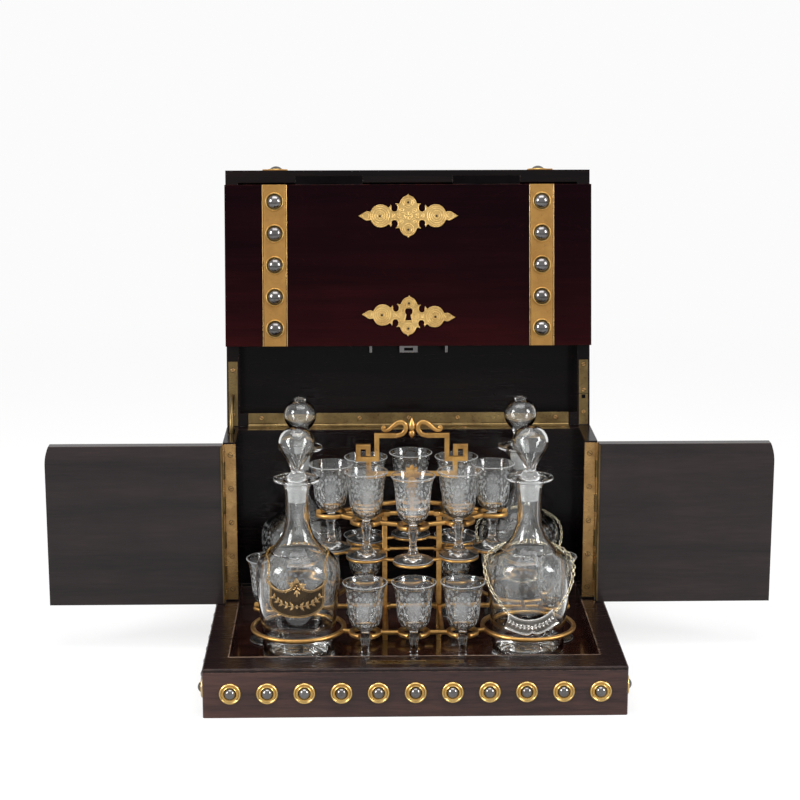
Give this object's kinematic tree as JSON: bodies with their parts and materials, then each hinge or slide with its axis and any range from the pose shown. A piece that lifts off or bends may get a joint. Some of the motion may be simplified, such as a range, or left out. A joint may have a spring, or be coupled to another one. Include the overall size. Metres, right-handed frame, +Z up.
{
  "type": "antique tantalus",
  "caption": "Antique drinks cabinet box with a hinged lid, fold-out front flap and swinging side doors, holding a lift-out gilt stand of stoppered decanters and stemmed glasses.",
  "frame": {"origin": "centre of the underside of the base, where the chest stands", "axes": "+X to the right as seen from the open front, +Y towards the back and the lid's hinge, +Z up"},
  "size_m": [0.6286, 0.3296, 0.4091],
  "materials": {
    "rosewood": "french-polished dark rosewood, glossy",
    "ebonised_wood": "ebonised black, polished",
    "aged_brass": "aged satin brass",
    "gilt_brass": "gilded, burnished",
    "steel": "polished steel, slightly dulled",
    "glass": "clear blown glass with engraved bands"
  },
  "bodies": {
    "case": {"base_plinth": "rosewood", "base_top": "ebonised_wood", "base_stud_rings": "aged_brass", "base_stud_domes": "steel", "strike_plate": "aged_brass", "back_panel": "ebonised_wood", "side_return_left": "rosewood", "side_return_right": "rosewood", "post_leaf_left": "aged_brass", "post_leaf_right": "aged_brass", "lid_hinge_lower": "aged_brass"},
    "lid": {"lid_board": "ebonised_wood", "lid_frame": "ebonised_wood", "lid_hinge_upper": "aged_brass", "lid_stay": "aged_brass", "lid_rim_plate": "aged_brass", "lid_strap_left": "aged_brass", "lid_strap_right": "aged_brass", "lid_studs": "aged_brass", "flap_hinge_upper": "aged_brass"},
    "flap": {"flap_panel": "rosewood", "flap_strap_left": "aged_brass", "flap_strap_right": "aged_brass", "flap_stud_bezels": "aged_brass", "flap_stud_domes": "steel", "escutcheon_upper": "aged_brass", "escutcheon_lower": "aged_brass", "flap_lock": "steel", "flap_hinge_lower": "aged_brass"},
    "door_left": {"door_left": "rosewood", "door_leaf_left": "aged_brass"},
    "door_right": {"door_right": "rosewood", "door_leaf_right": "aged_brass"},
    "stand": {"stand_tray": "ebonised_wood", "stand_lower_tier": "gilt_brass", "stand_foot_tier": "gilt_brass", "stand_upper_tier": "gilt_brass", "stand_posts": "gilt_brass", "stand_handle": "gilt_brass", "glasses_upper_back": "glass", "glasses_lower_front": "glass", "glasses_lower_sides": "glass", "glasses_lower_back": "glass"},
    "decanter_front_left": {"decanter_front_left": "glass", "label_left": "gilt_brass", "chain_left": "gilt_brass"},
    "stopper_front_left": {"stopper_front_left": "glass"},
    "decanter_front_right": {"decanter_front_right": "glass", "label_right": "steel", "chain_right": "gilt_brass"},
    "stopper_front_right": {"stopper_front_right": "glass"},
    "decanter_rear_left": {"decanter_rear_left": "glass"},
    "stopper_rear_left": {"stopper_rear_left": "glass"},
    "decanter_rear_right": {"decanter_rear_right": "glass"},
    "stopper_rear_right": {"stopper_rear_right": "glass"},
    "glass_front_left": {"glass_front_left": "glass"},
    "glass_front_centre": {"glass_front_centre": "glass"},
    "glass_front_right": {"glass_front_right": "glass"},
    "glass_side_left": {"glass_side_left": "glass"},
    "glass_side_right": {"glass_side_right": "glass"}
  },
  "joints": [
    {"name": "lid_hinge", "type": "hinge", "parent": "case", "child": "lid", "pos_m": [0, 0.1142, 0.18425], "axis": [-1, 0, 0], "range_deg": [-53, 0]},
    {"name": "flap_hinge", "type": "hinge", "parent": "lid", "child": "flap", "pos_m": [0, 0.15134, 0.3949], "axis": [1, 0, 0], "range_deg": [-90, 0]},
    {"name": "door_left_hinge", "type": "hinge", "parent": "case", "child": "door_left", "pos_m": [-0.162, 0.0528, 0.1125], "axis": [0, 0, -1], "range_deg": [-90, 0]},
    {"name": "door_right_hinge", "type": "hinge", "parent": "case", "child": "door_right", "pos_m": [0.162, 0.0528, 0.1125], "axis": [0, 0, 1], "range_deg": [-90, 0]},
    {"name": "stand_lift", "type": "slide", "parent": "case", "child": "stand", "axis": [0, 0, 1], "range_m": [0, 0.25]},
    {"name": "decanter_front_left_lift", "type": "slide", "parent": "stand", "child": "decanter_front_left", "axis": [0, 0, 1], "range_m": [0, 0.2]},
    {"name": "stopper_front_left_lift", "type": "slide", "parent": "decanter_front_left", "child": "stopper_front_left", "axis": [0, 0, 1], "range_m": [0, 0.06]},
    {"name": "decanter_front_right_lift", "type": "slide", "parent": "stand", "child": "decanter_front_right", "axis": [0, 0, 1], "range_m": [0, 0.2]},
    {"name": "stopper_front_right_lift", "type": "slide", "parent": "decanter_front_right", "child": "stopper_front_right", "axis": [0, 0, 1], "range_m": [0, 0.06]},
    {"name": "decanter_rear_left_lift", "type": "slide", "parent": "stand", "child": "decanter_rear_left", "axis": [0, 0, 1], "range_m": [0, 0.2]},
    {"name": "stopper_rear_left_lift", "type": "slide", "parent": "decanter_rear_left", "child": "stopper_rear_left", "axis": [0, 0, 1], "range_m": [0, 0.06]},
    {"name": "decanter_rear_right_lift", "type": "slide", "parent": "stand", "child": "decanter_rear_right", "axis": [0, 0, 1], "range_m": [0, 0.2]},
    {"name": "stopper_rear_right_lift", "type": "slide", "parent": "decanter_rear_right", "child": "stopper_rear_right", "axis": [0, 0, 1], "range_m": [0, 0.06]},
    {"name": "glass_front_left_slide", "type": "slide", "parent": "stand", "child": "glass_front_left", "axis": [0, -1, 0], "range_m": [0, 0.16]},
    {"name": "glass_front_centre_slide", "type": "slide", "parent": "stand", "child": "glass_front_centre", "axis": [0, -1, 0], "range_m": [0, 0.16]},
    {"name": "glass_front_right_slide", "type": "slide", "parent": "stand", "child": "glass_front_right", "axis": [0, -1, 0], "range_m": [0, 0.16]},
    {"name": "glass_side_left_slide", "type": "slide", "parent": "stand", "child": "glass_side_left", "axis": [-1, 0, 0], "range_m": [0, 0.16]},
    {"name": "glass_side_right_slide", "type": "slide", "parent": "stand", "child": "glass_side_right", "axis": [1, 0, 0], "range_m": [0, 0.16]}
  ]
}
